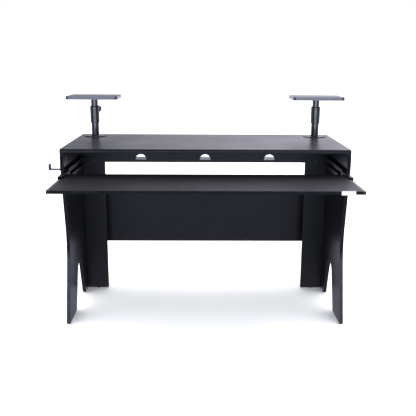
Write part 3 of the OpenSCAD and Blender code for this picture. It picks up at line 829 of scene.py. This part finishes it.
CAP_HIGH = 1 * MM
EDGE_PLUG_HEAD = 0.8 * MM
make_set("screw_cover_caps", "side_screw_caps", dome_cap, outwards, CAP_HIGH, moulded_black,
         "black_plastic")
make_set("nail_glides", "foot_glides", nail_glide, down, 0, moulded_black, "black_plastic")
make_set("inner_hole_plugs", "panel_plugs", lambda low, high: mushroom(4 * MM, 1 * MM, 3 * MM, 8 * MM),
         inwards, CAP_HIGH, beige_plug, "pale_plastic")
make_set("shelf_hole_plugs", "shelf_edge_plugs",
         lambda low, high: mushroom(3.5 * MM, EDGE_PLUG_HEAD, 2.5 * MM, 8 * MM),
         forwards, EDGE_PLUG_HEAD, dull_zinc, "zinc_fittings")

# %% [markdown]
# **The cam housings** keep their CAD shape, with the cross in their faces and the hole
# for the bolt; only their edges are softened. So do the slide members, the end caps and
# the rubber stops. Steel sheet is sheared, so its edges are only just broken.

# %% Cam housings and slides
make_copy("cam_housings", "cam_locks", zinc, "zinc_fittings", 0.25 * MM, 1)
for side in ("left", "right"):
    for member in ("outer", "middle", "inner"):
        make_copy(f"slide_{member}_rail_{side}", f"slide_{member}_{side}", slide_steel,
                  "slide_steel", 0.15 * MM, 1)
make_copy("rail_end_caps", "slide_end_caps", moulded_black, "black_plastic", 1.2 * MM, 4)
make_copy("rubber_stop_blocks", "slide_stops", moulded_black, "black_plastic", 0.8 * MM, 2)


# %% [markdown]
# **The plate** on the tray's front edge is blank: a pale plastic tag with round corners
# and a shallow frame pressed into its face. The frame is an inset of the front face,
# and a second inset is pushed in by a few tenths of a millimetre.

# %% Blank plate
def make_front_plate():
    low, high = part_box("front_plate")
    shape = block(low, high)
    along_y = [e for e in shape.edges if abs((e.verts[0].co - e.verts[1].co).normalized().y) > 0.99]
    soften(shape, 2.0 * MM, 5, along_y)
    front = min(shape.faces, key=lambda f: f.calc_center_median().y)
    bmesh.ops.inset_region(shape, faces=[front], thickness=1.6 * MM, depth=0)
    bmesh.ops.inset_region(shape, faces=[front], thickness=0.4 * MM, depth=-0.35 * MM)
    soften(shape, 0.25 * MM, 2, corners(shape, math.radians(60)))
    return make_piece("blank_tag", shape, moulded_pale, "pale_plastic", "front_plate")


make_front_plate()

# %% [markdown]
# ## The CAD pieces that stay
#
# Dowels, cam bolts, screws inside the boards, ball cages, and the screws and pads inside
# the posts are right as they are. They only need their finish, which replaces the plain
# one that they came with.

# %% Finishes for the pieces that keep their CAD shape
KEPT = [("wood_dowels", beech), ("cam_bolts", zinc), ("side_screws", zinc), ("shelf_screws", zinc)]
for side in ("left", "right"):
    KEPT += [(f"{cage}_ball_cage_{side}", slide_steel) for cage in ("outer", "inner")]
    KEPT += [(f"{part}_{side}", zinc) for part in ("clamp_pad", "clamp_screw", "top_screws")]


def paint(node, finish):
    piece = frame["nodes"][node]
    piece.data.materials.clear()
    piece.data.materials.append(finish)


for node, finish in KEPT:
    paint(node, finish)
print("kept as they are:", sum(not o.hide_render for o in frame["nodes"].values()), "CAD nodes")

# %% [markdown]
# ## The studio
#
# The desk stands on a plain white floor in front of nothing. A black glossy object is
# seen mostly through what it mirrors, so what it mirrors is set apart from what lights
# it: in its reflections the floor is much darker in front of the desk than behind it.

# %% Floor
FLOOR_REACH = 30  # metres from the desk to the floor's edge


def shade_by(tree, value, low, high, dark, bright):
    """A smooth step as a value goes from low to high. Its ends are numbers or sockets."""
    step = tree.nodes.new("ShaderNodeMapRange")
    step.interpolation_type = "SMOOTHSTEP"
    step.inputs["From Min"].default_value = low
    step.inputs["From Max"].default_value = high
    for name, end in (("To Min", dark), ("To Max", bright)):
        if isinstance(end, bpy.types.NodeSocket):
            tree.links.new(end, step.inputs[name])
        else:
            step.inputs[name].default_value = end
    tree.links.new(value, step.inputs["Value"])
    return step.outputs["Result"]


def make_floor():
    mesh = bpy.data.meshes.new("floor")
    shape = bmesh.new()
    bmesh.ops.create_grid(shape, x_segments=1, y_segments=1, size=FLOOR_REACH)
    shape.to_mesh(mesh)
    shape.free()
    finish, tree, shader = new_finish("white_floor", (0.9, 0.9, 0.91), 0.9)
    vary_roughness(tree, shader, cloudy(tree, 2), 0.85, 0.95)
    # The floor glows only in what the desk mirrors: a painted reflection, dim in front of the desk and
    # bright behind it.
    reflected_floor_glow = tree.nodes.new("ShaderNodeEmission")
    reflected_floor_glow.inputs["Color"].default_value = (0.78, 0.80, 1, 1)
    place = tree.nodes.new("ShaderNodeTexCoord")
    split = tree.nodes.new("ShaderNodeSeparateXYZ")
    tree.links.new(place.outputs["Object"], split.inputs["Vector"])
    near = shade_by(tree, split.outputs["Y"], -3.2, -1.2, 0.12, 0.54)
    tree.links.new(shade_by(tree, split.outputs["Y"], 0.2, 1.6, near, 1.3), reflected_floor_glow.inputs["Strength"])
    mirrored(tree, shader.outputs["BSDF"], reflected_floor_glow.outputs["Emission"], tree.nodes["Material Output"])
    finish.cycles.emission_sampling = "NONE"
    mesh.materials.append(finish)
    floor = bpy.data.objects.new("floor", mesh)
    bpy.context.scene.collection.objects.link(floor)


def mirrored(tree, direct, reflected, out):
    """Shows one shader directly, and the other in what the desk mirrors."""
    path = tree.nodes.new("ShaderNodeLightPath")
    mix = tree.nodes.new("ShaderNodeMixShader")
    tree.links.new(path.outputs["Is Glossy Ray"], mix.inputs["Fac"])
    tree.links.new(direct, mix.inputs[1])
    tree.links.new(reflected, mix.inputs[2])
    tree.links.new(mix.outputs["Shader"], out.inputs["Surface"])


make_floor()


# %% Lights
def soft_light(name, place, target, size, radiance, tint=(1, 1, 1)):
    """A rectangular panel, given by how bright it looks."""
    light = bpy.data.lights.new(name, "AREA")
    light.shape = "RECTANGLE"
    light.size, light.size_y = size
    light.energy = radiance * math.pi * size[0] * size[1]
    light.color = tint
    lamp = bpy.data.objects.new(name, light)
    bpy.context.scene.collection.objects.link(lamp)
    lamp.location = place
    lamp.rotation_euler = (Vector(target) - Vector(place)).to_track_quat("-Z", "Y").to_euler()
    lamp.visible_camera = False
    return lamp


soft_light("front_light", (0, -6.0, 1.25), (0, 0, 1.25), (8.0, 2.2), 3.0, (0.70, 0.79, 1))


# %% [markdown]
# The world lights the floor evenly, so that it is as white as the background. What the
# desk mirrors is another matter: there the world is bright behind, more so to the right
# and higher up, and dark at the sides and in front. Light Path nodes tell three kinds of
# rays apart: those from the camera, those that light a surface, and the mirrored ones.

# %% World
def make_world():
    world = bpy.data.worlds.new("studio")
    world.use_nodes = True
    bpy.context.scene.world = world
    tree = world.node_tree
    tree.nodes.clear()
    seen, lighting, mirror = (tree.nodes.new("ShaderNodeBackground") for _ in range(3))
    lighting.inputs["Color"].default_value = (0.97, 0.98, 1, 1)
    lighting.inputs["Strength"].default_value = 2.6
    mirror.inputs["Color"].default_value = (0.88, 0.87, 1, 1)
    direction = tree.nodes.new("ShaderNodeTexCoord")
    split = tree.nodes.new("ShaderNodeSeparateXYZ")
    tree.links.new(direction.outputs["Generated"], split.inputs["Vector"])
    back = shade_by(tree, split.outputs["Y"], 0.1, 0.9, 0.10, 1.0)
    horizon = shade_by(tree, split.outputs["X"], -0.35, 0.35, 0.42, 0.72)
    upper = shade_by(tree, split.outputs["X"], -0.35, 0.35, 0.60, 3.0)
    height = shade_by(tree, split.outputs["Z"], 0.05, 0.40, horizon, upper)
    strength = tree.nodes.new("ShaderNodeMath")
    strength.operation = "MULTIPLY"
    tree.links.new(back, strength.inputs[0])
    tree.links.new(height, strength.inputs[1])
    tree.links.new(strength.outputs["Value"], mirror.inputs["Strength"])
    path = tree.nodes.new("ShaderNodeLightPath")
    unseen, whole = (tree.nodes.new("ShaderNodeMixShader") for _ in range(2))
    out = tree.nodes.new("ShaderNodeOutputWorld")
    tree.links.new(path.outputs["Is Glossy Ray"], unseen.inputs["Fac"])
    tree.links.new(lighting.outputs["Background"], unseen.inputs[1])
    tree.links.new(mirror.outputs["Background"], unseen.inputs[2])
    tree.links.new(path.outputs["Is Camera Ray"], whole.inputs["Fac"])
    tree.links.new(unseen.outputs["Shader"], whole.inputs[1])
    tree.links.new(seen.outputs["Background"], whole.inputs[2])
    tree.links.new(whole.outputs["Shader"], out.inputs["Surface"])
    seen.inputs["Color"].default_value = (1, 1, 1, 1)


make_world()
bpy.context.scene.view_settings.view_transform = "Standard"

# %% [markdown]
# ## The camera
#
# The camera stands about two and a half metres in front of the tray and less than half a
# metre above the desktop, and looks down by thirteen degrees through a lens slightly
# longer than normal. Its rotation is built from the direction it looks in, and a roll.

# %% Camera
EYE = Vector((-0.0143, -3.1862, 1.3211))
PITCH, YAW, ROLL = math.radians(13.13), math.radians(-0.6), math.radians(0.28)
LENS = 56.0


def make_camera():
    ahead = Vector((-math.sin(YAW) * math.cos(PITCH), math.cos(YAW) * math.cos(PITCH), -math.sin(PITCH)))
    level = Vector((math.cos(YAW), math.sin(YAW), 0))
    above = level.cross(ahead)
    right = level * math.cos(ROLL) + above * math.sin(ROLL)
    top = above * math.cos(ROLL) - level * math.sin(ROLL)
    camera = bpy.data.objects.new("camera", bpy.data.cameras.new("camera"))
    camera.data.lens = LENS
    camera.data.clip_start = 0.05
    camera.matrix_world = Matrix.Translation(EYE) @ Matrix((right, top, -ahead)).transposed().to_4x4()
    bpy.context.scene.collection.objects.link(camera)
    bpy.context.scene.camera = camera


make_camera()
